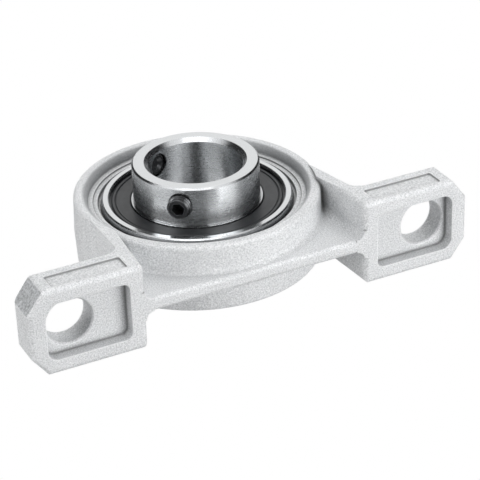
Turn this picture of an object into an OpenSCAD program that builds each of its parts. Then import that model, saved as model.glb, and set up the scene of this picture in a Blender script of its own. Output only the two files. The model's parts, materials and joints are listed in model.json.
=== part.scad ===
// Pillow block bearing: a cast two bolt housing with a ball bearing insert that can tip in a round seat.
// The middle of the underside is at the origin. X runs along the foot, Y along the bore, Z up.
// The long collar of the insert, with its set screws, faces minus Y.

/* [Bearing insert] */
// Bore of the inner race, for the shaft
bore_d = 20; // [16:0.1:22.4]
// Outside diameter of the ball shaped outer race
insert_d = 42; // [39:0.1:46]
// Diameter of one ball
ball_d = 6.35; // [5.6:0.05:7]
// Number of balls
ball_count = 9; // [9:9]
// Outside diameter of the collar
collar_d = 26.9; // [24:0.1:30]
// Length of the collar in front of the outer race
collar_len = 8; // [7:0.1:14]
// How far the inner race stands out behind the outer race
back_step = 1; // [0.5:0.1:4]
// Chamfer at the two ends of the bore
bore_chamfer = 0.85; // [0.3:0.05:1.2]
// Gap between a ball and each race
ball_play = 0.015; // [0.01:0.005:0.05]
// Gap between the outer race and its seat
seat_play = 0.03; // [0.01:0.01:0.1]
// Gap between the cage and each seal
cage_gap = 0.565; // [0.3:0.005:1.5]
// Thickness of a seal
seal_t = 1; // [0.8:0.05:1.5]
// How far a seal lies below the face of the outer race
seal_sink = 0.6; // [0.3:0.05:1]

/* [Set screws] */
// Thread diameter of the set screws
screw_d = 5; // [3:0.1:5.6]
// Gap between a screw tip and the bore
screw_inset = 0.1; // [0.05:0.05:0.5]
// Width across the flats of the hexagon socket
socket_af = 2.5; // [1.5:0.1:2.8]
// Length of a set screw
screw_l = 5; // [4:0.5:6]
// Distance from the collar face to the screw axes
screw_edge = 3.9; // [3.7:0.1:4.4]
// Angle between the two set screws
screw_spread = 112; // [60:1:150]
// Angle of the first screw below the horizontal
screw_turn = 50.4; // [20:0.1:70]

/* [Foot] */
// Height of the lowest point of the ring above the underside
ring_lift = 1.9; // [1:0.1:8]
// Distance between the two bolt holes
bolt_spacing = 80; // [74:0.1:100]
// Diameter of a bolt hole
bolt_hole_d = 9.8; // [6:0.1:11]
// Distance from a bolt hole to the end of its ear
ear_end = 9.4; // [8.6:0.1:14]
// Width of the foot
foot_w = 19; // [18:0.1:24]
// Thickness of the ears
ear_t = 7.5; // [6.5:0.1:9]
// Length along X of the cut end corners
corner_x = 3.6; // [2:0.1:4.5]
// Length along Y of the cut end corners
corner_y = 4.8; // [3:0.1:5.5]
// Depth of the pockets under the ears
pocket_depth = 2.7; // [1:0.1:4]
// Wall left around a pocket
pocket_wall = 3.2; // [2.4:0.1:3.6]
// Depth of the plain panels on the ear fronts
panel_depth = 0.35; // [0.2:0.05:0.6]

/* [Ring, ribs and web] */
// Thickness of the ring around the insert, at the ring faces
ring_wall = 5.1; // [4.8:0.1:8]
// Width of the ring
ring_w = 15.1; // [14.8:0.1:18]
// Draft of the ring wall, in degrees
ring_draft = 2.5; // [1:0.1:4]
// Width of the ledge around the insert, inside the ring face
ledge_w = 2.2; // [1:0.1:2.3]
// Depth of the step halfway across the ledge
ledge_step = 0.3; // [0.1:0.05:0.5]
// Rounding of the rim around the ledge
rim_round = 1.5; // [0.5:0.1:1.6]
// Thickness of the slanted ribs
rib_t = 2.55; // [2:0.05:3]
// How far the outer side of a rib stands out past the ring where it meets its ear
rib_out = 0.6; // [0.2:0.1:3]
// Lean of the ribs, in degrees
rib_lean = 4.2; // [3:0.1:5]
// Thickness of the web under the ring
web_t = 3; // [2.4:0.1:5]
// Radius of the fillets between the web and the ring
web_fillet = 1.2; // [0.8:0.1:2.4]
// Radius of the fillets between the web and the ribs
rib_fillet_r = 1.7; // [1:0.1:2.4]
// Radius of the fillet between rib and ear
ear_fillet = 3; // [1:0.1:4]
// Radius of the outer casting edges
edge_r = 1; // [0.5:0.05:1.3]

/* [Hidden] */
$fn = 120;
bore_r = bore_d / 2;
collar_r = collar_d / 2;
insert_r = insert_d / 2;
ball_r = ball_d / 2;
// The balls run halfway between the bore and the outside of the insert
pitch_r = (bore_r + insert_r) / 2;
// Cage of two pressed halves
cage_t = 0.6;
cage_in = pitch_r - 1.15;
cage_out = pitch_r + 1.15;
pocket_in = ball_r + 0.06;
pocket_out = pocket_in + cage_t;
rivet_r = 0.5;
rivet_head = 0.85;
// Half the width of the outer race, which covers the cage and both seals
race_h = pocket_out + cage_gap + seal_t + seal_sink;
collar_reach = race_h + collar_len;
back_reach = race_h + back_step;
// Groove radius, a little over the ball radius, and the middle of each groove
groove_r = ball_r * 1.04;
outer_mid = pitch_r + ball_r + ball_play - groove_r;
inner_mid = pitch_r - ball_r - ball_play + groove_r;
// Lands beside the grooves, and the neck between the inner land and the collar
inner_land = pitch_r - ball_r / 2;
outer_land = pitch_r + ball_r / 2;
neck_r = inner_land - 0.5;
neck_y = race_h + 0.25;
// Seals, measured from the race middle outwards
seal_r = outer_land + 1.55;
seal_out = race_h - seal_sink;
seal_in = seal_out - seal_t;
lip_r = inner_land + 0.1;
core_t = 0.45;
core_y = seal_in + 0.15;
core_in = lip_r + 0.75;
core_out = seal_r - 0.8;
// Set screws
screw_r = screw_d / 2;
tap_r = screw_r + 0.05;
screw_reach = collar_reach - screw_edge;
screw_low = bore_r + screw_inset;
screw_top = screw_low + screw_l;
socket_deep = screw_l * 0.5;
// Housing
ring_r = insert_r + ring_wall;
ring_h = ring_w / 2;
centre_h = ring_r + ring_lift;
half_l = bolt_spacing / 2 + ear_end;
half_w = foot_w / 2;
hole_r = bolt_hole_d / 2;
seat_r = insert_r + seat_play;
seat_h = race_h - 1.7;
relief_r = insert_r + 0.1;
recess_r = relief_r + ledge_w;
recess_y = race_h - 0.5;
step_r = relief_r + ledge_w * 0.45;
rib_top = centre_h - 2;
rib_foot_x = ring_r + rib_out;
lean_t = tan(rib_lean);
rib_out_top = rib_foot_x - lean_t * (rib_top - ear_t);
rib_out_low = rib_foot_x + lean_t * ear_t;
rib_in_top = rib_out_top - rib_t;
rib_in_low = rib_out_low - rib_t;
pocket_x0 = rib_in_low + pocket_wall;
pocket_x1 = half_l - pocket_wall - 0.4;
pocket_y = half_w - pocket_wall;
wall_r = ring_r + (ring_h - web_t / 2) * tan(ring_draft);
// The web and its fillets end inside the ring, this far below the top of the ribs
web_end = rib_top - 3;
// Rounding of the lower inner edge of an ear
low_round = edge_r * 1.3;
// Half the length of the web at the underside, where it runs into the ears
web_x = rib_in_low + low_round + 0.2;
skin = "#c6c9cb";
steel = "#aeb3b8";
bright = "#d6dadd";
rubber = "#3b3d40";
black = "#26282b";

// Helpers for profiles with round corners
function unit(v) = v / norm(v);
function half_turn(a, b, c) = acos(unit(a - b) * unit(c - b)) / 2;
function round_in(a, b, c, r) = b + unit(a - b) * (r / tan(half_turn(a, b, c)));
function round_out(a, b, c, r) = b + unit(c - b) * (r / tan(half_turn(a, b, c)));
function round_mid(a, b, c, r) = b + unit(unit(a - b) + unit(c - b)) * (r / sin(half_turn(a, b, c)));

// A flat outline whose corners have the radii in r; a radius below zero fills an inner corner
module rounded(p, r) {
  n = len(p);
  difference() {
    union() {
      polygon([for (i = [0:n - 1]) let (a = p[(i + n - 1) % n], b = p[i], c = p[(i + 1) % n], q = abs(r[i]))
        each (q > 0 ? [round_in(a, b, c, q), round_out(a, b, c, q)] : [b])]);
      for (i = [0:n - 1]) if (r[i] > 0)
        translate(round_mid(p[(i + n - 1) % n], p[i], p[(i + 1) % n], r[i])) circle(r[i]);
    }
    for (i = [0:n - 1]) if (r[i] < 0)
      translate(round_mid(p[(i + n - 1) % n], p[i], p[(i + 1) % n], -r[i])) circle(-r[i]);
  }
}

// Turns what is drawn along Z so that it runs along the bore, at bore height
module at_bore() translate([0, 0, centre_h]) rotate([-90, 0, 0]) children();
// Turns an outline drawn in X and Z into a solid through the width
module through_y(w) translate([0, w / 2, 0]) rotate([90, 0, 0]) linear_extrude(w) children();
// Turns an outline drawn in Y and Z into a solid along X
module along_x(x0, x1) translate([x0, 0, 0]) rotate([90, 0, 90]) linear_extrude(x1 - x0) children();
// Left and right copies
module both_sides() { children(); mirror([1, 0, 0]) children(); }

// Housing
module ring_body() at_bore() rotate_extrude()
  rounded([[insert_r - 3, -ring_h], [ring_r, -ring_h], [ring_r + ring_h * tan(ring_draft), 0],
    [ring_r, ring_h], [insert_r - 3, ring_h]], [0, edge_r * 0.9, 0, edge_r * 0.9, 0]);

// One side of the foot: an ear and its rib, as the shape that three round edged outlines share
module foot_side() intersection() {
  through_y(foot_w + 2) rounded([[rib_in_low, 0], [half_l, 0], [half_l, ear_t], [rib_foot_x, ear_t],
    [rib_out_top, rib_top], [rib_in_top, rib_top]],
    [low_round, edge_r * 1.1, edge_r * 0.9, -ear_fillet, 0, 0]);
  along_x(rib_in_top - 1, half_l + 1) rounded([[-half_w, 0], [half_w, 0], [half_w, ear_t + 0.5],
    [ring_h - 0.03, rib_top], [0.03 - ring_h, rib_top], [-half_w, ear_t + 0.5]],
    [edge_r * 1.1, edge_r * 1.1, 0, 0, 0, 0]);
  translate([0, 0, -1]) linear_extrude(rib_top + 2)
    rounded([[rib_in_top - 2, -half_w], [half_l - corner_x, -half_w], [half_l, corner_y - half_w],
      [half_l, half_w - corner_y], [half_l - corner_x, half_w], [rib_in_top - 2, half_w]],
      [0, edge_r, edge_r, edge_r, edge_r, 0]);
  corner_slab();
  mirror([0, 1, 0]) corner_slab();
  rib_edge();
}

// Lies over the foot and rounds the lower edge of a cut corner
module corner_slab() translate([half_l - corner_x, half_w, 0]) rotate([0, 0, -atan2(corner_y, corner_x)])
  rotate([90, 0, 90]) translate([0, 0, -half_l]) linear_extrude(2 * half_l)
    rounded([[-2 * half_l, 0], [0.03, 0], [0.03, 2 * half_l], [-2 * half_l, 2 * half_l]],
      [0, edge_r * 0.8, 0, 0]);

// Lies over the foot and rounds the two upright corners on the inner side of a rib
module rib_edge() translate([rib_in_low, 0, 0]) rotate([0, -rib_lean, 0])
  translate([-0.03, 0, -3]) linear_extrude(rib_top + 8)
    rounded([[0, -half_w - 0.03], [half_l, -half_w - 0.03], [half_l, half_w + 0.03], [0, half_w + 0.03]],
      [edge_r * 1.3, 0, 0, edge_r * 2]);

module web() intersection() {
  along_x(-half_l, half_l) rounded([[-web_t / 2, 0], [web_t / 2, 0],
    [web_t / 2, web_end], [-web_t / 2, web_end]],
    [edge_r * 0.85, edge_r * 0.85, 0, 0]);
  through_y(web_t + 2) polygon([[-web_x, -1], [web_x, -1], [rib_in_top + 1, web_end + 1],
    [-rib_in_top - 1, web_end + 1]]);
}

// Fillet between the web and the ring, on both faces of the web
module ring_fillet() intersection() {
  at_bore() rotate_extrude() front_back_flat() difference() {
    translate([wall_r - 1.2, 0]) square([web_fillet + 1.2, web_t / 2 + web_fillet]);
    translate([wall_r + web_fillet - 0.05, web_t / 2 + web_fillet - 0.05]) circle(web_fillet);
  }
  through_y(ring_w) polygon([[-rib_in_low, 0.02], [rib_in_low, 0.02], [rib_in_top + 0.4, web_end - 1],
    [-rib_in_top - 0.4, web_end - 1]]);
}
module front_back_flat() { children(); mirror([0, 1]) children(); }

// Fillet between the web and one rib, on both faces of the web
module rib_fillet() intersection() {
  translate([rib_in_low, 0, 0]) rotate([0, -rib_lean, 0]) translate([0, 0, -3]) linear_extrude(rib_top)
    front_back_flat() difference() {
      translate([-rib_fillet_r, 0]) square([rib_fillet_r + low_round + 0.1, web_t / 2 + rib_fillet_r]);
      translate([-rib_fillet_r + 0.05, web_t / 2 + rib_fillet_r - 0.05]) circle(rib_fillet_r);
    }
  translate([0, -half_w, 0.02]) cube([half_l, foot_w, web_end - 2]);
}

module ear_pocket() translate([0, 0, -1]) linear_extrude(pocket_depth + 1)
  rounded([[pocket_x0, -pocket_y], [pocket_x1, -pocket_y], [pocket_x1, pocket_y], [pocket_x0, pocket_y]],
    [1.5, 2.2, 2.2, 1.5]);

module ear_panel() translate([0, panel_depth - half_w, 0]) rotate([90, 0, 0]) linear_extrude(2)
  rounded([[rib_in_low + 2.9, 1.1], [half_l - corner_x - 2.2, 1.1], [half_l - corner_x - 2.2, ear_t - 1.9],
    [rib_in_low + 2.9, ear_t - 1.9]], [0.5, 0.5, 0.5, 0.5]);

module bolt_hole() {
  translate([bolt_spacing / 2, 0, -1]) cylinder(r = hole_r, h = ear_t + 2);
  translate([bolt_spacing / 2, 0, pocket_depth - 0.01])
    cylinder(r1 = hole_r + 0.35, r2 = hole_r, h = 0.35);
}

module seat_space() at_bore() {
  intersection() {
    sphere(r = seat_r);
    translate([0, 0, -seat_h]) cylinder(r = insert_r + 2, h = 2 * seat_h);
  }
  front_back_z() {
    translate([0, 0, seat_h - 0.01]) cylinder(r = relief_r, h = ring_h);
    rotate_extrude() rounded([[0, recess_y - ledge_step], [step_r, recess_y - ledge_step],
      [step_r + 0.05, recess_y], [recess_r - 0.1, recess_y], [recess_r, ring_h + 0.03],
      [recess_r + 2, ring_h + 0.03], [recess_r + 2, ring_h + 2], [0, ring_h + 2]],
      [0, 0, 0, 0.35, -rim_round, 0, 0, 0]);
  }
}
module front_back_z() { children(); mirror([0, 0, 1]) children(); }

module housing() color(skin) difference() {
  union() {
    ring_body();
    both_sides() foot_side();
    web();
    ring_fillet();
    both_sides() rib_fillet();
  }
  seat_space();
  both_sides() {
    ear_pocket();
    bolt_hole();
    ear_panel();
  }
}

// Outer race: a slice of a ball with a groove and two seal seats
module outer_race() color(steel) at_bore() rotate_extrude() difference() {
  intersection() {
    circle(insert_r);
    translate([0, -race_h]) square([insert_r + 1, 2 * race_h]);
  }
  translate([-1, -race_h - 1]) square([outer_land + 1, 2 * race_h + 2]);
  translate([outer_mid, 0]) circle(groove_r);
  front_back_flat() {
    translate([0, seal_in]) square([seal_r, race_h]);
    polygon([[seal_r - 1, race_h - 0.25], [seal_r, race_h - 0.25], [seal_r + 0.27, race_h + 0.02],
      [seal_r - 1, race_h + 0.02]]);
    polygon([[sqrt(insert_r * insert_r - race_h * race_h) - 0.22, race_h + 0.01], [insert_r, race_h + 0.01],
      [insert_r, race_h - 0.9], [sqrt(insert_r * insert_r - race_h * race_h) + 0.03, race_h - 0.22]]);
  }
}

// Inner race with its long collar
module inner_race() color(steel) difference() {
  at_bore() rotate_extrude() difference() {
    union() {
      polygon([[bore_r, -collar_reach + bore_chamfer], [bore_r + bore_chamfer, -collar_reach],
        [collar_r - 0.35, -collar_reach], [collar_r, -collar_reach + 0.35], [collar_r, -neck_y],
        [neck_r, -neck_y], [neck_r, neck_y], [collar_r, neck_y], [collar_r, back_reach - 0.35],
        [collar_r - 0.35, back_reach], [bore_r + bore_chamfer, back_reach],
        [bore_r, back_reach - bore_chamfer]]);
      translate([bore_r + 1, -seal_out]) square([inner_land - bore_r - 1, 2 * seal_out]);
    }
    translate([inner_mid, 0]) circle(groove_r);
  }
  for (i = [0, 1]) at_screw(i) {
    translate([0, 0, bore_r - 2]) cylinder(r = tap_r, h = collar_r - bore_r + 4);
    translate([0, 0, collar_r - 0.3]) cylinder(r1 = tap_r - 0.05, r2 = tap_r + 0.65, h = 0.7);
  }
}

// Moves what is drawn along Z onto the axis of a set screw, pointing out of the collar
module at_screw(i) translate([0, -screw_reach, centre_h])
  rotate([0, i == 0 ? 180 + 90 - screw_turn : 180 + 90 - screw_turn + screw_spread, 0]) children();

module set_screw(i) color(black) at_screw(i) difference() {
  rotate_extrude() polygon([[0, screw_low + 0.4], [screw_r * 0.42, screw_low], [screw_r * 0.72, screw_low],
    [screw_r, screw_low + 0.6], [screw_r, screw_top - 0.45], [screw_r - 0.5, screw_top], [0, screw_top]]);
  translate([0, 0, screw_top - socket_deep]) rotate([0, 0, 30])
    cylinder(r = socket_af / sqrt(3), h = screw_l, $fn = 6);
  translate([0, 0, screw_top - socket_deep - 0.25]) cylinder(r1 = 0.2, r2 = socket_af / 2 - 0.05, h = 0.26);
  translate([0, 0, screw_top - 0.15]) cylinder(r1 = socket_af / 2, r2 = socket_af / 2 + 0.25, h = 0.25);
}
module set_screw_1() set_screw(0);
module set_screw_2() set_screw(1);

// Balls
module at_ball(i) rotate([0, 0, 90 + 360 / ball_count * (i - 1)]) translate([pitch_r, 0, 0]) children();
module ball(i) color(bright) at_bore() at_ball(i) sphere(r = ball_r);
module ball_1() ball(1);
module ball_2() ball(2);
module ball_3() ball(3);
module ball_4() ball(4);
module ball_5() ball(5);
module ball_6() ball(6);
module ball_7() ball(7);
module ball_8() ball(8);
module ball_9() ball(9);

// One pressed half of the cage, on the plus Z side of the ball circle
module cage_half() difference() {
  intersection() {
    difference() {
      cylinder(r = cage_out, h = pocket_out + 1);
      translate([0, 0, -1]) cylinder(r = cage_in, h = pocket_out + 3);
    }
    union() {
      cylinder(r = cage_out + 3, h = cage_t);
      for (i = [1:ball_count]) at_ball(i) rotate([0, 0, 90]) sphere(r = pocket_out);
    }
  }
  for (i = [1:ball_count]) at_ball(i) rotate([0, 0, 90]) sphere(r = pocket_in);
  for (i = [1:ball_count]) at_rivet(i) translate([0, 0, -1]) cylinder(r = rivet_r, h = cage_t + 2);
}
module at_rivet(i) rotate([0, 0, 90 + 360 / ball_count * (i - 0.5)]) translate([pitch_r, 0, 0]) children();
module cage_rear_half() color(steel) at_bore() cage_half();
module cage_front_half() color(steel) at_bore() mirror([0, 0, 1]) cage_half();

module cage_rivets() color(bright) at_bore() for (i = [1:ball_count]) at_rivet(i) rotate_extrude()
  polygon([[0, -cage_t - 0.45], [rivet_head - 0.25, -cage_t - 0.4], [rivet_head, -cage_t], [rivet_r, -cage_t],
    [rivet_r, cage_t], [rivet_head, cage_t], [rivet_head - 0.25, cage_t + 0.4], [0, cage_t + 0.45]]);

// Seals: a steel disc with a rubber cover on its outer side
module seal_core() rotate_extrude()
  translate([core_in, core_y]) square([core_out - core_in, core_t]);
module seal_lip() rotate_extrude() polygon([[lip_r, seal_in + 0.1], [lip_r, seal_out - 0.3],
  [lip_r + 0.3, seal_out - 0.12], [seal_r - 1.5, seal_out - 0.12], [seal_r - 1.35, seal_out - 0.22],
  [seal_r - 1.2, seal_out - 0.12], [seal_r - 1.1, seal_out], [seal_r - 0.7, seal_out],
  [seal_r - 0.45, seal_out - 0.2], [seal_r - 0.45, core_y + core_t], [seal_r - 0.01, core_y + core_t],
  [seal_r - 0.01, seal_in], [core_out, seal_in],
  [core_out, core_y + core_t], [core_in, core_y + core_t], [core_in, seal_in + 0.1]]);
module front_seal_core() color(steel) at_bore() mirror([0, 0, 1]) seal_core();
module front_seal_lip() color(rubber) at_bore() mirror([0, 0, 1]) seal_lip();
module rear_seal_core() color(steel) at_bore() seal_core();
module rear_seal_lip() color(rubber) at_bore() seal_lip();

housing();
outer_race();
inner_race();
ball_1();
ball_2();
ball_3();
ball_4();
ball_5();
ball_6();
ball_7();
ball_8();
ball_9();
cage_front_half();
cage_rear_half();
cage_rivets();
front_seal_core();
front_seal_lip();
rear_seal_core();
rear_seal_lip();
set_screw_1();
set_screw_2();
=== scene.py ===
"""Looks of a pillow block bearing: a blasted zinc alloy casting round a ball bearing insert."""

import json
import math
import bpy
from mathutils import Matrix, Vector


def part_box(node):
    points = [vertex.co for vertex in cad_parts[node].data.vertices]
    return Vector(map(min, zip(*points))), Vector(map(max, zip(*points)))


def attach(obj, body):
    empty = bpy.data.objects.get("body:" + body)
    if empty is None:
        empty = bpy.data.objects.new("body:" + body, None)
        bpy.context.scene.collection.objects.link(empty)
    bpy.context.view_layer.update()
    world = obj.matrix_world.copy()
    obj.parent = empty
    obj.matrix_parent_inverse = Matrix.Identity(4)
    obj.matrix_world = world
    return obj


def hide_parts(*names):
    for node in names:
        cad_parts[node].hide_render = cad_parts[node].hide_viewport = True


bl_info = {
    "name": "Pillow block bearing",
    "version": (1, 0, 0),
    "blender": (4, 5, 0),
    "location": "3D View > Sidebar > Pillow block",
    "description": "Dresses a packed pillow block bearing and sets its stage",
    "category": "Object",
}

import bpy
from mathutils import Matrix, Vector

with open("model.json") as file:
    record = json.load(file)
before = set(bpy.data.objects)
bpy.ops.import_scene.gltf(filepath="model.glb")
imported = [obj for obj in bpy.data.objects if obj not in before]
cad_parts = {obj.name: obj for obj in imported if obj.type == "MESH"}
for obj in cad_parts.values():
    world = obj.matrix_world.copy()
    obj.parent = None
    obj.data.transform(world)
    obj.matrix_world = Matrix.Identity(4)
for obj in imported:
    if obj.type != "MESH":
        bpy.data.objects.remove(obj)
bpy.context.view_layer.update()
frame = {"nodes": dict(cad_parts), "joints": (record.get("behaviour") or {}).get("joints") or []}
NODES = frame["nodes"]

MM = 0.001
BORE_HEIGHT = (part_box("outer_race")[0].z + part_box("outer_race")[1].z) / 2

# A Mix node has sockets of one name for numbers and for colours, so the colours go by their place
FACTOR, FIRST, SECOND, MIXED = 0, 6, 7, 2


# Colours, nodes and small helpers


def linear(code):
    """An sRGB hex colour as the linear colour that Blender's sockets take."""
    parts = [int(code[i:i + 2], 16) / 255 for i in (1, 3, 5)]
    light = [c / 12.92 if c <= 0.04045 else ((c + 0.055) / 1.055) ** 2.4 for c in parts]
    return (*light, 1.0)


def add(tree, kind, inputs=None, **settings):
    """Adds a node, with its settings, its values and the sockets that feed it."""
    made = tree.nodes.new(kind)
    for name, value in settings.items():
        setattr(made, name, value)
    for name, value in (inputs or {}).items():
        if isinstance(value, bpy.types.NodeSocket):
            tree.links.new(value, made.inputs[name])
        else:
            made.inputs[name].default_value = value
    return made


def empty_material(name):
    """A material with no nodes."""
    made = bpy.data.materials.new(name)
    made.use_nodes = True
    made.node_tree.nodes.clear()
    return made, made.node_tree


def start_material(name):
    """A material that holds its shader and nothing else."""
    made, tree = empty_material(name)
    shader = add(tree, "ShaderNodeBsdfPrincipled")
    add(tree, "ShaderNodeOutputMaterial", {"Surface": shader.outputs["BSDF"]})
    return made, tree, shader


def paint(node, material):
    """Gives a CAD node one material all over."""
    slots = NODES[node].data.materials
    slots.clear()
    slots.append(material)


def round_the_bore(tree):
    """Place seen from the bore's middle, distance from its axis and place along it, as sockets."""
    place = add(tree, "ShaderNodeTexCoord")
    centred = add(tree, "ShaderNodeMapping", {
        "Vector": place.outputs["Object"], "Location": (0, 0, -BORE_HEIGHT)})
    parts = add(tree, "ShaderNodeSeparateXYZ", {"Vector": centred.outputs["Vector"]})
    flat = add(tree, "ShaderNodeCombineXYZ", {"X": parts.outputs["X"], "Z": parts.outputs["Z"]})
    radius = add(tree, "ShaderNodeVectorMath", {0: flat.outputs["Vector"]}, operation="LENGTH")
    return centred.outputs["Vector"], radius.outputs["Value"], parts.outputs["Y"]


def turned_lines(tree, spacing):
    """Noise drawn out round the bore axis, as a tool or a grinding wheel leaves it."""
    line_length = spacing * 60
    centred, radius, along = round_the_bore(tree)
    fine = add(tree, "ShaderNodeCombineXYZ", {"X": radius, "Y": along})
    stretched = add(tree, "ShaderNodeVectorMath", {
        0: fine.outputs["Vector"], "Scale": 1 / spacing}, operation="SCALE")
    slow = add(tree, "ShaderNodeVectorMath", {
        0: centred, "Scale": 1 / line_length}, operation="SCALE")
    both = add(tree, "ShaderNodeVectorMath", {
        0: stretched.outputs["Vector"], 1: slow.outputs["Vector"]}, operation="ADD")
    noise = add(tree, "ShaderNodeTexNoise", {
        "Vector": both.outputs["Vector"], "Scale": 1.0, "Detail": 3.0})
    return noise.outputs["Fac"]


# Sizes and colours that a user would change


class CastingLook(bpy.types.PropertyGroup):
    grain: bpy.props.FloatProperty(
        name="Grain", description="Width of one grain of the blasted skin",
        default=0.3 * MM, min=0.1 * MM, max=2 * MM, precision=5, unit="LENGTH")
    depth: bpy.props.FloatProperty(
        name="Depth", description="Height of the grain",
        default=0.16 * MM, min=0, max=0.3 * MM, precision=5, unit="LENGTH")
    light: bpy.props.FloatVectorProperty(
        name="Light colour", description="Colour of the grain's tops",
        default=linear("#F6F7F8"), size=4, min=0, max=1, subtype="COLOR")
    dark: bpy.props.FloatVectorProperty(
        name="Dark colour", description="Colour of the grain's pits",
        default=linear("#B1B3B5"), size=4, min=0, max=1, subtype="COLOR")


class SteelLook(bpy.types.PropertyGroup):
    colour: bpy.props.FloatVectorProperty(
        name="Colour", description="Colour of ground bearing steel",
        default=linear("#CDCFD1"), size=4, min=0, max=1, subtype="COLOR")
    lines: bpy.props.FloatProperty(
        name="Line spacing", description="Distance between grinding lines",
        default=0.16 * MM, min=0.05 * MM, max=1 * MM, precision=5, unit="LENGTH")


class SealLook(bpy.types.PropertyGroup):
    colour: bpy.props.FloatVectorProperty(
        name="Colour", description="Colour of the seal rubber",
        default=linear("#222325"), size=4, min=0, max=1, subtype="COLOR")


class ScrewLook(bpy.types.PropertyGroup):
    width: bpy.props.FloatProperty(
        name="Width", description="Outer diameter of the thread",
        default=5 * MM, min=3 * MM, max=6 * MM, precision=5, unit="LENGTH")
    length: bpy.props.FloatProperty(
        name="Length", description="Length of a set screw",
        default=5 * MM, min=3 * MM, max=8 * MM, precision=5, unit="LENGTH")
    filled: bpy.props.FloatProperty(
        name="Filled", description="Height over the middle up to which the thread fills its hole",
        default=0.65 * MM, min=0, max=2 * MM, precision=5, unit="LENGTH")
    pitch: bpy.props.FloatProperty(
        name="Pitch", description="Rise of one turn of the thread",
        default=0.8 * MM, min=0.5 * MM, max=1 * MM, precision=5, unit="LENGTH")
    socket: bpy.props.FloatProperty(
        name="Socket", description="Width across the flats of the socket",
        default=2.5 * MM, min=1.5 * MM, max=3 * MM, precision=5, unit="LENGTH")


class StageLook(bpy.types.PropertyGroup):
    floor: bpy.props.FloatVectorProperty(
        name="Floor colour", description="Colour of the floor",
        default=linear("#F4F4F4"), size=4, min=0, max=1, subtype="COLOR")
    front: bpy.props.FloatProperty(
        name="Front light", description="Power of the lamp before the bore",
        default=1.0, min=0, max=20, unit="POWER")
    below: bpy.props.FloatProperty(
        name="Low light", description="Power of the lamp below the foot",
        default=1.0, min=0, max=20, unit="POWER")
    left: bpy.props.FloatProperty(
        name="Left light", description="Power of the lamp on the left",
        default=1.5, min=0, max=20, unit="POWER")


# Materials


def blasted_skin(tree, look, place, rounded):
    """The grain's height, and its colour: pale, with darker pits, and edges made bright: partly
    rubbed wear, partly a painted highlight.
    """
    cloud_width = 6 * MM
    # Real grain is about 0.1 mm wide: it is drawn as coarse as it needs to show
    grain = add(tree, "ShaderNodeTexNoise", {
        "Vector": place.outputs["Object"], "Scale": 1 / look.grain,
        "Detail": 4.0, "Roughness": 0.7})
    clouds = add(tree, "ShaderNodeTexNoise", {
        "Vector": place.outputs["Object"], "Scale": 1 / cloud_width, "Detail": 4.0})
    spread = add(tree, "ShaderNodeMapRange", {
        "Value": grain.outputs["Fac"], "From Min": 0.36, "From Max": 0.64})
    blotches = add(tree, "ShaderNodeMath", {
        0: clouds.outputs["Fac"], 1: 0.25}, operation="MULTIPLY")
    tone = add(tree, "ShaderNodeMath", {
        0: spread.outputs["Result"], 1: 0.8, 2: blotches.outputs["Value"]},
        operation="MULTIPLY_ADD")
    colour = add(tree, "ShaderNodeMix", {
        FACTOR: tone.outputs["Value"], FIRST: look.dark, SECOND: look.light}, data_type="RGBA")
    # Edges are painted bright: partly rubbed wear, partly a painted highlight of their rounding
    face = add(tree, "ShaderNodeNewGeometry")
    turn = add(tree, "ShaderNodeVectorMath", {
        0: rounded.outputs["Normal"], 1: face.outputs["Normal"]}, operation="DOT_PRODUCT")
    wear_and_highlight = add(tree, "ShaderNodeMapRange", {
        "Value": turn.outputs["Value"], "From Min": 1.0, "From Max": 0.88, "To Max": 0.85})
    skin = add(tree, "ShaderNodeMix", {
        FACTOR: wear_and_highlight.outputs["Result"], FIRST: colour.outputs[MIXED], SECOND: linear("#F8F9FA")},
        data_type="RGBA")
    return grain.outputs["Fac"], skin.outputs[MIXED]


def darker_ear_corner(tree, place, skin):
    """The slanted face at the front corner of the left ear is drawn darker and more coarsely
    mottled than the rest of the skin.
    """
    corner_faces = (-0.8, -0.6, 0.0)
    corner_start, corner_full, mottle_width = -43 * MM, -43.5 * MM, 0.5 * MM
    facing = add(tree, "ShaderNodeVectorMath", {
        0: place.outputs["Normal"], 1: corner_faces}, operation="DOT_PRODUCT")
    slanted = add(tree, "ShaderNodeMapRange", {
        "Value": facing.outputs["Value"], "From Min": 0.96, "From Max": 0.99})
    apart = add(tree, "ShaderNodeSeparateXYZ", {"Vector": place.outputs["Object"]})
    at_end = add(tree, "ShaderNodeMapRange", {
        "Value": apart.outputs["X"], "From Min": corner_start, "From Max": corner_full})
    corner_mask = add(tree, "ShaderNodeMath", {
        0: slanted.outputs["Result"], 1: at_end.outputs["Result"]}, operation="MULTIPLY")
    corner_noise = add(tree, "ShaderNodeTexNoise", {
        "Vector": place.outputs["Object"], "Scale": 1 / mottle_width,
        "Detail": 5.0, "Roughness": 0.8})
    corner_mottle = add(tree, "ShaderNodeMapRange", {
        "Value": corner_noise.outputs["Fac"], "From Min": 0.38, "From Max": 0.62})
    corner_tone = add(tree, "ShaderNodeMix", {
        FACTOR: corner_mottle.outputs["Result"], FIRST: linear("#8A8C8E"), SECOND: linear("#D7D9DB")},
        data_type="RGBA")
    outside = add(tree, "ShaderNodeMix", {
        FACTOR: corner_mask.outputs["Value"], FIRST: skin, SECOND: corner_tone.outputs[MIXED]}, data_type="RGBA")
    return outside.outputs[MIXED]


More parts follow.
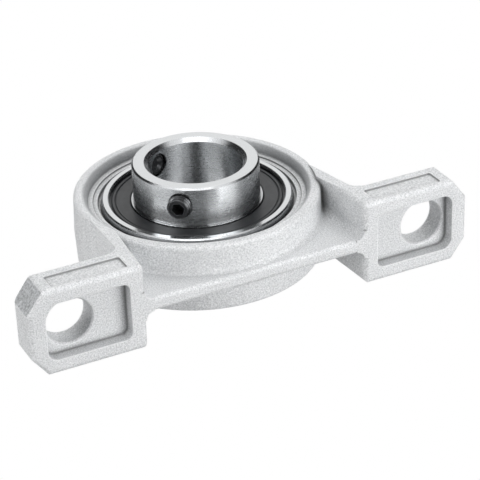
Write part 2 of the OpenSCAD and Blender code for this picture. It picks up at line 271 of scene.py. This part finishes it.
def painted_mouth_shade(tree, place, skin):
    """The mouth of the seat is turned, and its inward wall is painted grey as shade under the rim.
    """
    mouth_radius, mouth_full = 25 * MM, 24.8 * MM
    centred, radius, _ = round_the_bore(tree)
    level = add(tree, "ShaderNodeVectorMath", {
        0: centred, 1: (1.0, 0.0, 1.0)}, operation="MULTIPLY")
    outward = add(tree, "ShaderNodeVectorMath", {0: level.outputs["Vector"]}, operation="NORMALIZE")
    inward = add(tree, "ShaderNodeVectorMath", {
        0: outward.outputs["Vector"], 1: place.outputs["Normal"]}, operation="DOT_PRODUCT")
    wall = add(tree, "ShaderNodeMapRange", {
        "Value": inward.outputs["Value"], "From Min": -0.3, "From Max": -0.6, "To Max": 0.7})
    within = add(tree, "ShaderNodeMapRange", {
        "Value": radius, "From Min": mouth_radius, "From Max": mouth_full})
    mouth_shade = add(tree, "ShaderNodeMath", {
        0: wall.outputs["Result"], 1: within.outputs["Result"]}, operation="MULTIPLY")
    # Painted shade on the inward wall of the mouth
    mouth = add(tree, "ShaderNodeMix", {
        FACTOR: mouth_shade.outputs["Value"], FIRST: skin, SECOND: linear("#8F9193")}, data_type="RGBA")
    return mouth.outputs[MIXED]


def painted_corner_shade(tree, skin):
    """Painted shade in the corners, darkest in the narrow ones."""
    corner_reach, crease_reach = 2 * MM, 0.7 * MM
    corner = add(tree, "ShaderNodeAmbientOcclusion", {"Distance": corner_reach},
                 samples=8, only_local=True)
    wide_shade = add(tree, "ShaderNodeMapRange", {
        "Value": corner.outputs["AO"], "From Min": 0.25, "From Max": 0.9,
        "To Min": 0.56, "To Max": 1.0})
    crease = add(tree, "ShaderNodeAmbientOcclusion", {"Distance": crease_reach},
                 samples=8, only_local=True)
    crease_shade = add(tree, "ShaderNodeMapRange", {
        "Value": crease.outputs["AO"], "From Min": 0.62, "From Max": 0.96,
        "To Min": 0.38, "To Max": 1.0})
    # Painted shade: the darker of the two corner shades scales the skin's colour
    dust_and_shade = add(tree, "ShaderNodeMath", {
        0: wide_shade.outputs["Result"], 1: crease_shade.outputs["Result"]}, operation="MINIMUM")
    shaded_skin = add(tree, "ShaderNodeVectorMath", {
        0: skin, "Scale": dust_and_shade.outputs["Value"]}, operation="SCALE")
    return shaded_skin.outputs["Vector"]


def blasted_zinc_alloy(look):
    """Zinc alloy die casting, shot blasted: pale, dull metal with a fine sparkling grain."""
    made, tree, shader = start_material("blasted_zinc_alloy")
    place = add(tree, "ShaderNodeTexCoord")
    # Shot rounds every edge
    edge_radius = 0.45 * MM
    rounded = add(tree, "ShaderNodeBevel", {"Radius": edge_radius}, samples=6)
    grain, skin = blasted_skin(tree, look, place, rounded)
    skin = darker_ear_corner(tree, place, skin)
    skin = painted_mouth_shade(tree, place, skin)
    skin = painted_corner_shade(tree, skin)
    rough = add(tree, "ShaderNodeMapRange", {
        "Value": grain, "From Min": 0.3, "From Max": 0.7, "To Min": 0.66, "To Max": 0.42})
    bump = add(tree, "ShaderNodeBump", {
        "Height": grain, "Strength": 1.0, "Distance": look.depth,
        "Normal": rounded.outputs["Normal"]})
    shader.inputs["Metallic"].default_value = 0.2
    tree.links.new(skin, shader.inputs["Base Color"])
    tree.links.new(rough.outputs["Result"], shader.inputs["Roughness"])
    tree.links.new(bump.outputs["Normal"], shader.inputs["Normal"])
    return made


def ground_bearing_steel(look):
    """Chrome steel, ground round the bore: satin, with reflections drawn out along the bore."""
    stain_width, gap_reach = 1.3 * MM, 1.1 * MM
    made, tree, shader = start_material("ground_bearing_steel")
    place = add(tree, "ShaderNodeTexCoord")
    # Real grinding lines are much finer: these are drawn as coarse as they need to show
    lines = turned_lines(tree, look.lines)
    # Oil film and handling marks lie over the lines
    stains = add(tree, "ShaderNodeTexNoise", {
        "Vector": place.outputs["Object"], "Scale": 1 / stain_width,
        "Detail": 5.0, "Roughness": 0.65})
    dull = add(tree, "ShaderNodeMapRange", {
        "Value": stains.outputs["Fac"], "From Min": 0.42, "From Max": 0.72})
    streak = add(tree, "ShaderNodeMapRange", {
        "Value": lines, "From Min": 0.3, "From Max": 0.7, "To Min": 0.24, "To Max": 0.285})
    rough = add(tree, "ShaderNodeMath", {
        0: dull.outputs["Result"], 1: 0.03, 2: streak.outputs["Result"]}, operation="MULTIPLY_ADD")
    mark = add(tree, "ShaderNodeMath", {0: dull.outputs["Result"], 1: lines}, operation="MULTIPLY")
    colour = add(tree, "ShaderNodeMix", {
        FACTOR: mark.outputs["Value"], FIRST: look.colour, SECOND: linear("#B2B4B6")},
        data_type="RGBA")
    # The end faces are lapped: brighter and smoother
    facing = add(tree, "ShaderNodeSeparateXYZ", {"Vector": place.outputs["Normal"]})
    end_on = add(tree, "ShaderNodeMath", {0: facing.outputs["Y"]}, operation="ABSOLUTE")
    lapped = add(tree, "ShaderNodeMapRange", {
        "Value": end_on.outputs["Value"], "From Min": 0.85, "From Max": 0.98})
    smooth = add(tree, "ShaderNodeMath", {
        0: lapped.outputs["Result"], 1: -0.11, 2: rough.outputs["Value"]}, operation="MULTIPLY_ADD")
    bright = add(tree, "ShaderNodeMix", {
        FACTOR: lapped.outputs["Result"], FIRST: colour.outputs[MIXED], SECOND: linear("#DADCDD")},
        data_type="RGBA")
    # Painted shade darkens the gaps beside the seals and the seat
    gap = add(tree, "ShaderNodeAmbientOcclusion", {"Distance": gap_reach}, samples=8)
    shade = add(tree, "ShaderNodeMapRange", {
        "Value": gap.outputs["AO"], "From Min": 0.3, "From Max": 0.78})
    deep = add(tree, "ShaderNodeMix", {
        FACTOR: shade.outputs["Result"], FIRST: linear("#2A2A2B"), SECOND: bright.outputs[MIXED]},
        data_type="RGBA")
    bump = add(tree, "ShaderNodeBump", {"Height": lines, "Strength": 0.2, "Distance": 0.001 * MM})
    round_bore = add(tree, "ShaderNodeTangent", direction_type="RADIAL", axis="Y")
    shader.inputs["Metallic"].default_value = 1.0
    shader.inputs["Anisotropic"].default_value = 0.85
    shader.inputs["Anisotropic Rotation"].default_value = 0.25
    tree.links.new(round_bore.outputs["Tangent"], shader.inputs["Tangent"])
    tree.links.new(deep.outputs[MIXED], shader.inputs["Base Color"])
    tree.links.new(smooth.outputs["Value"], shader.inputs["Roughness"])
    tree.links.new(bump.outputs["Normal"], shader.inputs["Normal"])
    return made


def polished_ball_steel():
    """Lapped bearing balls: a mirror with a trace of grease."""
    film_width = 2 * MM
    made, tree, shader = start_material("polished_ball_steel")
    place = add(tree, "ShaderNodeTexCoord")
    film = add(tree, "ShaderNodeTexNoise", {
        "Vector": place.outputs["Object"], "Scale": 1 / film_width, "Detail": 3.0})
    rough = add(tree, "ShaderNodeMapRange", {
        "Value": film.outputs["Fac"], "To Min": 0.05, "To Max": 0.16})
    colour = add(tree, "ShaderNodeMix", {
        FACTOR: film.outputs["Fac"], FIRST: linear("#C2C4C6"), SECOND: linear("#DCDDDE")},
        data_type="RGBA")
    shader.inputs["Metallic"].default_value = 1.0
    tree.links.new(colour.outputs[MIXED], shader.inputs["Base Color"])
    tree.links.new(rough.outputs["Result"], shader.inputs["Roughness"])
    return made


def pressed_steel_sheet():
    """Cold rolled strip, pressed: grey, with a soft rolling grain."""
    grain_width = 0.5 * MM
    made, tree, shader = start_material("pressed_steel_sheet")
    place = add(tree, "ShaderNodeTexCoord")
    grain = add(tree, "ShaderNodeTexNoise", {
        "Vector": place.outputs["Object"], "Scale": 1 / grain_width, "Detail": 3.0})
    rough = add(tree, "ShaderNodeMapRange", {
        "Value": grain.outputs["Fac"], "To Min": 0.28, "To Max": 0.45})
    colour = add(tree, "ShaderNodeMix", {
        FACTOR: grain.outputs["Fac"], FIRST: linear("#8E9092"), SECOND: linear("#B4B6B8")},
        data_type="RGBA")
    shader.inputs["Metallic"].default_value = 1.0
    tree.links.new(colour.outputs[MIXED], shader.inputs["Base Color"])
    tree.links.new(rough.outputs["Result"], shader.inputs["Roughness"])
    return made


def moulded_nitrile_rubber(look):
    """Nitrile rubber moulded on steel: dark grey, dull, with faint rings from the turned mould."""
    # Real mould rings are finer: they are drawn as coarse as they need to show
    ring_spacing, dust_width = 0.3 * MM, 1.5 * MM
    made, tree, shader = start_material("moulded_nitrile_rubber")
    rings = turned_lines(tree, ring_spacing)
    place = add(tree, "ShaderNodeTexCoord")
    dust_and_shade = add(tree, "ShaderNodeTexNoise", {
        "Vector": place.outputs["Object"], "Scale": 1 / dust_width, "Detail": 5.0})
    mottle = add(tree, "ShaderNodeMapRange", {
        "Value": dust_and_shade.outputs["Fac"], "From Min": 0.35, "From Max": 0.7})
    colour = add(tree, "ShaderNodeMix", {
        FACTOR: mottle.outputs["Result"], FIRST: look.colour, SECOND: linear("#2D2F31")},
        data_type="RGBA")
    rough = add(tree, "ShaderNodeMapRange", {"Value": rings, "To Min": 0.34, "To Max": 0.46})
    bump = add(tree, "ShaderNodeBump", {"Height": rings, "Strength": 0.3, "Distance": 0.01 * MM})
    tree.links.new(colour.outputs[MIXED], shader.inputs["Base Color"])
    tree.links.new(rough.outputs["Result"], shader.inputs["Roughness"])
    tree.links.new(bump.outputs["Normal"], shader.inputs["Normal"])
    return made


def black_oxide_steel():
    """Blackened set screw steel: nearly black, oiled, with lighter edges: partly rubbed wear,
    partly a painted highlight.
    """
    film_width, edge_radius = 0.8 * MM, 0.12 * MM
    made, tree, shader = start_material("black_oxide_steel")
    place = add(tree, "ShaderNodeTexCoord")
    film = add(tree, "ShaderNodeTexNoise", {
        "Vector": place.outputs["Object"], "Scale": 1 / film_width, "Detail": 4.0})
    # Edges are painted lighter: partly rubbed wear, partly a painted highlight
    rounded = add(tree, "ShaderNodeBevel", {"Radius": edge_radius}, samples=4)
    face = add(tree, "ShaderNodeNewGeometry")
    turn = add(tree, "ShaderNodeVectorMath", {
        0: rounded.outputs["Normal"], 1: face.outputs["Normal"]}, operation="DOT_PRODUCT")
    wear_and_highlight = add(tree, "ShaderNodeMapRange", {
        "Value": turn.outputs["Value"], "From Min": 0.99, "From Max": 0.85, "To Max": 0.9})
    base = add(tree, "ShaderNodeMix", {
        FACTOR: film.outputs["Fac"], FIRST: linear("#2B2C2E"), SECOND: linear("#454648")},
        data_type="RGBA")
    colour = add(tree, "ShaderNodeMix", {
        FACTOR: wear_and_highlight.outputs["Result"], FIRST: base.outputs[MIXED], SECOND: linear("#A5A7A9")},
        data_type="RGBA")
    rough = add(tree, "ShaderNodeMapRange", {
        "Value": film.outputs["Fac"], "To Min": 0.26, "To Max": 0.44})
    shader.inputs["Metallic"].default_value = 0.85
    tree.links.new(colour.outputs[MIXED], shader.inputs["Base Color"])
    tree.links.new(rough.outputs["Result"], shader.inputs["Roughness"])
    return made


def matt_floor(look):
    """Matt board that only the camera sees, from above, and that fades out round the block."""
    full_within, gone_beyond = 0.06, 0.2
    made, tree = empty_material("matt_floor")
    board = add(tree, "ShaderNodeBsdfDiffuse", {"Color": look.floor})
    clear = add(tree, "ShaderNodeBsdfTransparent")
    ray = add(tree, "ShaderNodeLightPath")
    face = add(tree, "ShaderNodeNewGeometry")
    above = add(tree, "ShaderNodeMath", {
        0: ray.outputs["Is Camera Ray"], 1: face.outputs["Backfacing"]},
        operation="SUBTRACT", use_clamp=True)
    place = add(tree, "ShaderNodeTexCoord")
    away = add(tree, "ShaderNodeVectorMath", {0: place.outputs["Object"]}, operation="LENGTH")
    near = add(tree, "ShaderNodeMapRange", {
        "Value": away.outputs["Value"], "From Min": full_within, "From Max": gone_beyond,
        "To Min": 1.0, "To Max": 0.0}, interpolation_type="SMOOTHSTEP")
    shown = add(tree, "ShaderNodeMath", {
        0: above.outputs["Value"], 1: near.outputs["Result"]}, operation="MULTIPLY")
    both = add(tree, "ShaderNodeMixShader", {
        0: shown.outputs["Value"], 1: clear.outputs["BSDF"], 2: board.outputs["BSDF"]})
    add(tree, "ShaderNodeOutputMaterial", {"Surface": both.outputs["Shader"]})
    return made


def black_paper():
    """Paper of the studio's cards: one dark tone from every side."""
    made, tree = empty_material("black_paper")
    dark = add(tree, "ShaderNodeEmission", {"Color": linear("#262627"), "Strength": 1.0})
    add(tree, "ShaderNodeOutputMaterial", {"Surface": dark.outputs["Emission"]})
    return made


# Pieces


class BEARING_OT_casting(bpy.types.Operator):
    """Blasted skin of the cast housing"""

    bl_idname = "bearing.casting"
    bl_label = "Casting"

    def execute(self, context):
        paint("housing", blasted_zinc_alloy(context.scene.casting_look))
        return {"FINISHED"}


class BEARING_OT_races(bpy.types.Operator):
    """Ground steel of both races and the collar"""

    bl_idname = "bearing.races"
    bl_label = "Races"

    def execute(self, context):
        steel = ground_bearing_steel(context.scene.steel_look)
        for node in ("outer_race", "inner_race"):
            paint(node, steel)
        return {"FINISHED"}


class BEARING_OT_balls(bpy.types.Operator):
    """Balls and their cage"""

    bl_idname = "bearing.balls"
    bl_label = "Balls and cage"

    def execute(self, context):
        ball, sheet = polished_ball_steel(), pressed_steel_sheet()
        for node in NODES:
            if node.startswith("ball_"):
                paint(node, ball)
            if node.startswith("cage_"):
                paint(node, sheet)
        return {"FINISHED"}


class BEARING_OT_seals(bpy.types.Operator):
    """Rubber covers of the seals, and their steel discs"""

    bl_idname = "bearing.seals"
    bl_label = "Seals"

    def execute(self, context):
        rubber, sheet = moulded_nitrile_rubber(context.scene.seal_look), pressed_steel_sheet()
        for side in ("front", "rear"):
            paint(f"{side}_seal_lip", rubber)
            paint(f"{side}_seal_core", sheet)
        return {"FINISHED"}


def cut(piece, tool, operation):
    """Applies a Boolean between two meshes and takes the tool away."""
    bpy.ops.object.select_all(action="DESELECT")
    bpy.context.view_layer.objects.active = piece
    piece.select_set(True)
    step = piece.modifiers.new("cut", "BOOLEAN")
    step.object, step.operation, step.solver = tool, operation, "MANIFOLD"
    bpy.ops.object.modifier_apply(modifier=step.name)
    bpy.data.objects.remove(tool)


# Sides of a round set screw. All of a screw is drawn at one unit to the millimetre
ROUND = 72


def threaded_rod(radius, length, pitch):
    """A rod along Z, with one V thread wound round its core."""
    # The V is narrower than the pitch, so that its turns stay apart, and reaches into the core
    depth, half_width = pitch * 0.6, pitch * 0.49
    core_radius = radius - depth * 0.85
    bpy.ops.mesh.primitive_cylinder_add(vertices=ROUND, radius=core_radius, depth=length)
    core = bpy.context.object
    bpy.ops.object.select_all(action="DESELECT")
    turns = math.ceil(length / pitch) + 2
    bpy.ops.mesh.primitive_circle_add(vertices=4, radius=1, rotation=(math.pi / 2, 0, 0),
                                      location=(radius - depth, 0, -turns * pitch / 2))
    ridge = bpy.context.object
    ridge.scale = (depth, half_width, 1)
    bpy.ops.object.transform_apply()
    wound = ridge.modifiers.new("wound", "SCREW")
    wound.screw_offset, wound.iterations = pitch, turns
    wound.steps = wound.render_steps = ROUND
    bpy.ops.object.modifier_apply(modifier=wound.name)
    bpy.ops.object.mode_set(mode="EDIT")
    bpy.ops.mesh.select_all(action="SELECT")
    bpy.ops.mesh.remove_doubles(threshold=0.001)
    bpy.ops.mesh.fill_holes(sides=4)
    bpy.ops.mesh.normals_make_consistent(inside=False)
    bpy.ops.object.mode_set(mode="OBJECT")
    cut(core, ridge, "UNION")
    return core


def chamfered_blank(radius, length):
    """The outline that the thread is cut back to: chamfered ends, and a cup point below."""
    chamfer, rim, cup_depth, cup_taper = 0.45, 0.5, 0.5, 0.5
    bpy.ops.object.select_all(action="DESELECT")
    bpy.ops.mesh.primitive_cylinder_add(vertices=ROUND, radius=radius, depth=length)
    blank = bpy.context.object
    bpy.ops.object.mode_set(mode="EDIT")
    bpy.ops.mesh.select_all(action="DESELECT")
    bpy.ops.object.mode_set(mode="OBJECT")
    for edge in blank.data.edges:
        ends = [blank.data.vertices[v].co.z for v in edge.vertices]
        edge.select = abs(ends[0] - ends[1]) < 1e-4
    bpy.ops.object.mode_set(mode="EDIT")
    bpy.ops.mesh.select_mode(type="EDGE")
    bpy.ops.mesh.bevel(offset=chamfer, segments=1)
    bpy.ops.mesh.select_all(action="DESELECT")
    bpy.ops.object.mode_set(mode="OBJECT")
    for face in blank.data.polygons:
        face.select = face.normal.z < -0.99
    bpy.ops.object.mode_set(mode="EDIT")
    bpy.ops.mesh.select_mode(type="FACE")
    bpy.ops.mesh.inset(thickness=rim)
    bpy.ops.mesh.extrude_region_move()
    bpy.ops.transform.translate(value=(0, 0, cup_depth))
    bpy.ops.transform.resize(value=(cup_taper, cup_taper, 1))
    bpy.ops.object.mode_set(mode="OBJECT")
    return blank


def set_screw(look):
    """One set screw along Z, middle at the origin and socket up."""
    # A property adds stray last digits to a size, and rounding takes them off
    sizes = (look.width, look.length, look.filled, look.pitch, look.socket)
    width, length, filled, pitch, socket = (round(size / MM, 4) for size in sizes)
    radius, top = width / 2, length / 2
    # The blank is narrower than the thread and the plug, so that it trims both just flat
    plug_inset, blank_inset, mouth_depth = 0.02, 0.04, 0.3
    rod = threaded_rod(radius, length, pitch)
    # Inside the collar wall the thread fills its hole
    bpy.ops.mesh.primitive_cylinder_add(vertices=ROUND, radius=radius - plug_inset, depth=length,
                                        location=(0, 0, filled - top))
    plug = bpy.context.object
    bpy.ops.object.transform_apply()
    cut(rod, plug, "UNION")
    cut(rod, chamfered_blank(radius - blank_inset, length), "INTERSECT")
    # The hexagon socket reaches to the middle, and a cone opens its mouth
    bpy.ops.object.select_all(action="DESELECT")
    bpy.ops.mesh.primitive_cylinder_add(vertices=6, radius=socket / math.sqrt(3), depth=length,
                                        location=(0, 0, top))
    cut(rod, bpy.context.object, "DIFFERENCE")
    bpy.ops.object.select_all(action="DESELECT")
    bpy.ops.mesh.primitive_cone_add(vertices=48, radius1=0, radius2=socket, depth=socket * 0.8,
                                    location=(0, 0, top - mouth_depth + socket * 0.2))
    cut(rod, bpy.context.object, "DIFFERENCE")
    # The Booleans leave some sliver faces twice, and the export can't take them, so each twin goes
    rod.data.validate()
    bpy.ops.object.shade_smooth_by_angle(angle=math.radians(32))
    return rod


class BEARING_OT_screws(bpy.types.Operator):
    """Threaded set screws with a hexagon socket and a cup point"""

    bl_idname = "bearing.screws"
    bl_label = "Set screws"

    def execute(self, context):
        black = black_oxide_steel()
        axes = {joint["name"]: Vector(joint["axis"]) for joint in frame["joints"]}
        first = set_screw(context.scene.screw_look)
        for node, degrees in (("set_screw_1", 12), ("set_screw_2", 40)):
            out = axes[node + "_travel"].normalized()
            bpy.ops.object.select_all(action="DESELECT")
            first.select_set(True)
            context.view_layer.objects.active = first
            bpy.ops.object.duplicate()
            made = context.object
            made.name = node.replace("set_screw", "threaded_screw")
            low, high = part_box(node)
            middle = (low + high) / 2
            on_axis = Vector((0, middle.y, BORE_HEIGHT))
            made.location = on_axis + out * (middle - on_axis).dot(out)
            spin = Matrix.Rotation(math.radians(degrees), 3, "Z")
            made.rotation_euler = (out.to_track_quat("Z", "Y").to_matrix() @ spin).to_euler()
            made.scale = (MM, MM, MM)
            bpy.ops.object.transform_apply()
            made.data.materials.clear()
            made.data.materials.append(black)
            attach(made, node + "_body")
            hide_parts(node)
        bpy.data.objects.remove(first)
        return {"FINISHED"}


# Stage, in metres


SOFT_BOX = 0.4
CARD_DISTANCE = 0.5
# Both ends of a card, along the bore
BESIDE_COLLAR = (-1.0, 0.07)
BEHIND_BORE = (0.07, 1.6)


def lamp(name, place, power, mirrored=True):
    """A square soft box that faces the bore. Unless it is mirrored, the steel shows none of it."""
    bpy.ops.object.light_add(type="AREA", location=place)
    made = bpy.context.object
    made.name = name
    toward = Vector((0, 0, BORE_HEIGHT)) - Vector(place)
    made.rotation_euler = toward.to_track_quat("-Z", "Y").to_euler()
    made.data.shape = "SQUARE"
    made.data.size = SOFT_BOX
    made.data.energy = power
    made.visible_glossy = mirrored


def black_card(name, paper, start, end, near, far):
    """A card along the bore, between two angles round it in degrees. Only reflections show it."""
    turn, half = math.radians((start + end) / 2), math.radians((end - start) / 2)
    place = (CARD_DISTANCE * math.cos(turn), (near + far) / 2,
             BORE_HEIGHT + CARD_DISTANCE * math.sin(turn))
    bpy.ops.mesh.primitive_plane_add(size=1, location=place, rotation=(0, math.pi / 2 - turn, 0))
    made = bpy.context.object
    made.name = name
    made.scale = (2 * CARD_DISTANCE * math.tan(half), far - near, 1)
    made.data.materials.append(paper)
    made.visible_camera = made.visible_diffuse = False
    made.visible_shadow = made.visible_transmission = False


def light_tent(scene):
    """White to the camera and in reflections, and softer as a light."""
    world = bpy.data.worlds.new("light_tent")
    world.use_nodes = True
    tree = world.node_tree
    tree.nodes.clear()
    ray = add(tree, "ShaderNodeLightPath")
    seen = add(tree, "ShaderNodeMath", {
        0: ray.outputs["Is Camera Ray"], 1: ray.outputs["Is Glossy Ray"]}, operation="MAXIMUM")
    through = add(tree, "ShaderNodeMath", {
        0: seen.outputs["Value"], 1: ray.outputs["Is Transmission Ray"]}, operation="MAXIMUM")
    power = add(tree, "ShaderNodeMapRange", {
        "Value": through.outputs["Value"], "To Min": 0.2, "To Max": 1.0})
    white = add(tree, "ShaderNodeBackground", {
        "Color": (1, 1, 1, 1), "Strength": power.outputs["Result"]})
    add(tree, "ShaderNodeOutputWorld", {"Surface": white.outputs["Background"]})
    scene.world = world


def photo_camera(scene):
    """The photograph's view: the block lies on its back and shows its front and its underside."""
    # Fitted to points of the photograph, which is 480 pixels wide
    side_pixels, focal_pixels, shift_pixels = 480, 1958.88, (14.386, 4.473)
    target, distance_mm, roll = Vector((0, 0, 14.793 * MM)), 406.76, math.radians(-2.449)
    back = Vector((-0.36953, -0.48849, -0.79046)).normalized()
    side = Vector((0, -1, 0)).cross(back).normalized()
    level = Matrix((side, back.cross(side), back)).transposed()
    turn = level @ Matrix.Rotation(roll, 3, "Z")
    place = target + back * distance_mm * MM
    bpy.ops.object.camera_add(location=place, rotation=turn.to_euler())
    camera = bpy.context.object
    camera.name = "photo_camera"
    camera.data.sensor_width = 36
    camera.data.lens = camera.data.sensor_width * focal_pixels / side_pixels
    camera.data.shift_x, camera.data.shift_y = (pixels / side_pixels for pixels in shift_pixels)
    camera.data.clip_start, camera.data.clip_end = 0.01, 20
    scene.camera = camera


class BEARING_OT_stage(bpy.types.Operator):
    """Floor, light tent, lamps, cards and the camera"""

    bl_idname = "bearing.stage"
    bl_label = "Stage"

    def execute(self, context):
        scene, look = context.scene, context.scene.stage_look
        scene.view_settings.view_transform = "Standard"
        # The floor lies a hair below the foot, so that the two never fight for one place
        bpy.ops.mesh.primitive_plane_add(size=3, location=(0, 0, -0.02 * MM))
        floor = context.object
        floor.name = "floor"
        floor.data.materials.append(matt_floor(look))
        light_tent(scene)
        # Powers in watts, so set that the tones come out as in the photograph
        lamp("front_low", (-0.1, -0.6, -0.1), look.front)
        lamp("front_right", (0.15, -0.55, 0.25), look.front * 1.35, mirrored=False)
        lamp("below", (0.05, -0.15, -0.6), look.below)
        lamp("below_right", (0.27, -0.05, -0.53), look.below * 2.0)
        lamp("below_right_fill", (0.27, -0.05, -0.53), look.below * 0.8, mirrored=False)
        lamp("left", (-0.55, -0.15, 0), look.left)
        lamp("top", (0.1, -0.1, 0.6), 1.4, mirrored=False)
        lamp("right", (0.45, -0.4, 0.08), 0.85, mirrored=False)
        lamp("rear", (0.1, 0.55, 0.3), 0.5, mirrored=False)
        lamp("rear_left", (-0.48, 0.3, 0.16), 0.25)
        # The collar mirrors three cards, and the bore two more through its far end
        paper = black_paper()
        black_card("card_low", paper, 222, 264, *BESIDE_COLLAR)
        black_card("card_right", paper, -30, 42, *BESIDE_COLLAR)
        black_card("card_left", paper, 88, 163, *BESIDE_COLLAR)
        black_card("card_rear_low", paper, 214, 283, *BEHIND_BORE)
        black_card("card_rear_top", paper, 35, 91, *BEHIND_BORE)
        photo_camera(scene)
        return {"FINISHED"}


class BEARING_PT_panel(bpy.types.Panel):
    """Every step, in order"""

    bl_label = "Pillow block"
    bl_idname = "BEARING_PT_panel"
    bl_space_type = "VIEW_3D"
    bl_region_type = "UI"
    bl_category = "Pillow block"

    def draw(self, context):
        for step in STEPS:
            self.layout.operator(step.bl_idname)
        for group, look in LOOKS.items():
            box = self.layout.box()
            for name in look.__annotations__:
                box.prop(getattr(context.scene, group), name)


LOOKS = {
    "casting_look": CastingLook,
    "steel_look": SteelLook,
    "seal_look": SealLook,
    "screw_look": ScrewLook,
    "stage_look": StageLook,
}
STEPS = (BEARING_OT_casting, BEARING_OT_races, BEARING_OT_balls, BEARING_OT_seals,
         BEARING_OT_screws, BEARING_OT_stage)
CLASSES = (*LOOKS.values(), *STEPS, BEARING_PT_panel)


def register():
    for made in CLASSES:
        bpy.utils.register_class(made)
    for name, group in LOOKS.items():
        setattr(bpy.types.Scene, name, bpy.props.PointerProperty(type=group))


def unregister():
    for name in LOOKS:
        delattr(bpy.types.Scene, name)
    for made in reversed(CLASSES):
        bpy.utils.unregister_class(made)


def main():
    register()
    for name in ("casting", "races", "balls", "seals", "screws", "stage"):
        if getattr(bpy.ops.bearing, name)() != {"FINISHED"}:
            raise RuntimeError(f"{name} did not finish")


if __name__ == "__main__":
    main()
